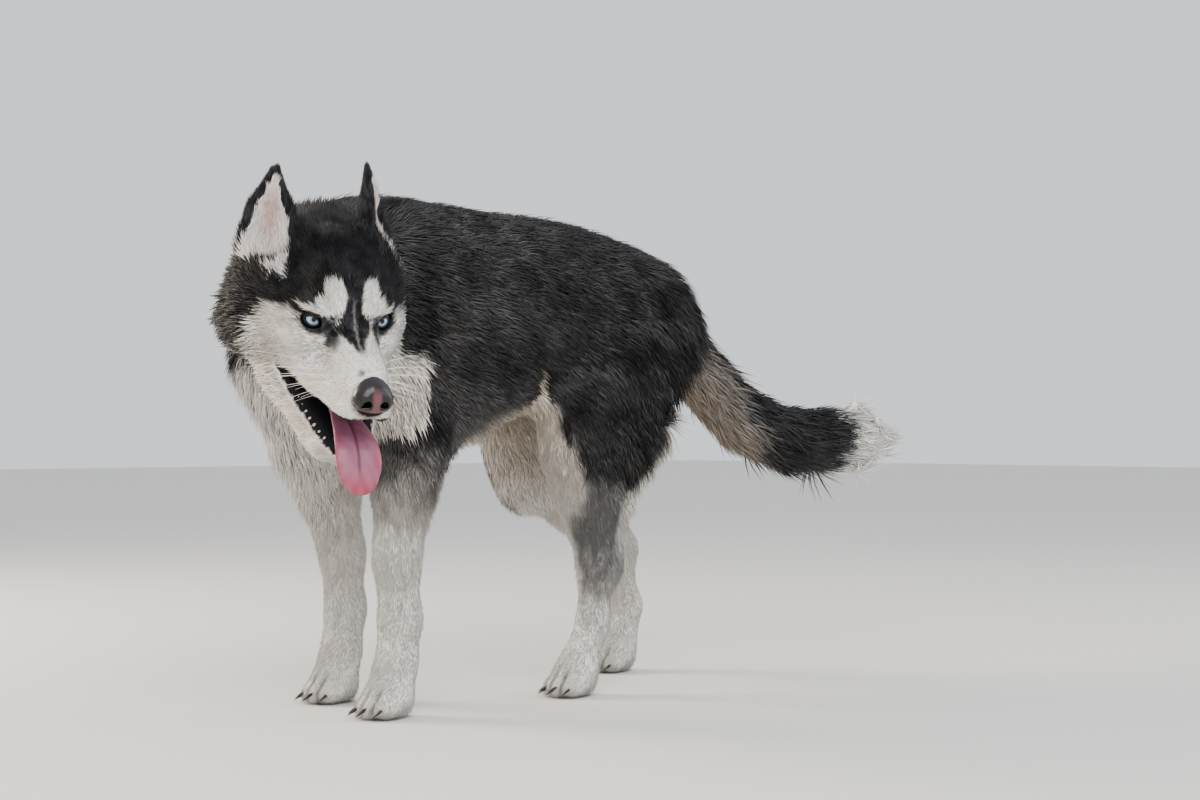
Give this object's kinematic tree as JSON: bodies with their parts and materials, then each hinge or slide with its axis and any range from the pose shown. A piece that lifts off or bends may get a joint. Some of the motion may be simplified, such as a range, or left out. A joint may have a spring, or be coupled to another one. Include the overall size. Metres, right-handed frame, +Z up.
{
  "type": "siberian husky",
  "caption": "Life-size standing husky looking back over its left shoulder, mouth open and tongue out, one hind foot set forward, bushy tail carried low.",
  "frame": {"origin": "on the floor under the middle of the whole figure's box", "axes": "-X the way the trunk faces, -Y the dog's left side, +Z up"},
  "size_m": [1.1332, 0.3874, 0.595],
  "materials": {
    "dark_coat": "short dense hair, matt",
    "eye": "wet gloss",
    "grey_coat": "short dense hair, matt",
    "nose_leather": "damp, finely pebbled",
    "pale_coat": "short dense hair, matt",
    "tongue": "wet"
  },
  "bodies": {
    "root": {"tongue": "tongue", "ear_left": "dark_coat", "ear_right": "dark_coat", "nose": "nose_leather", "eye_left": "eye", "eye_right": "eye", "head": "pale_coat", "jaw": "pale_coat", "neck": "dark_coat", "torso": "dark_coat", "leg_front_left": "pale_coat", "paw_front_left": "pale_coat", "leg_front_right": "pale_coat", "paw_front_right": "pale_coat", "leg_hind_left": "grey_coat", "paw_hind_left": "pale_coat", "leg_hind_right": "grey_coat", "paw_hind_right": "pale_coat", "tail_root": "dark_coat", "tail_brush": "pale_coat"}
  },
  "joints": []
}
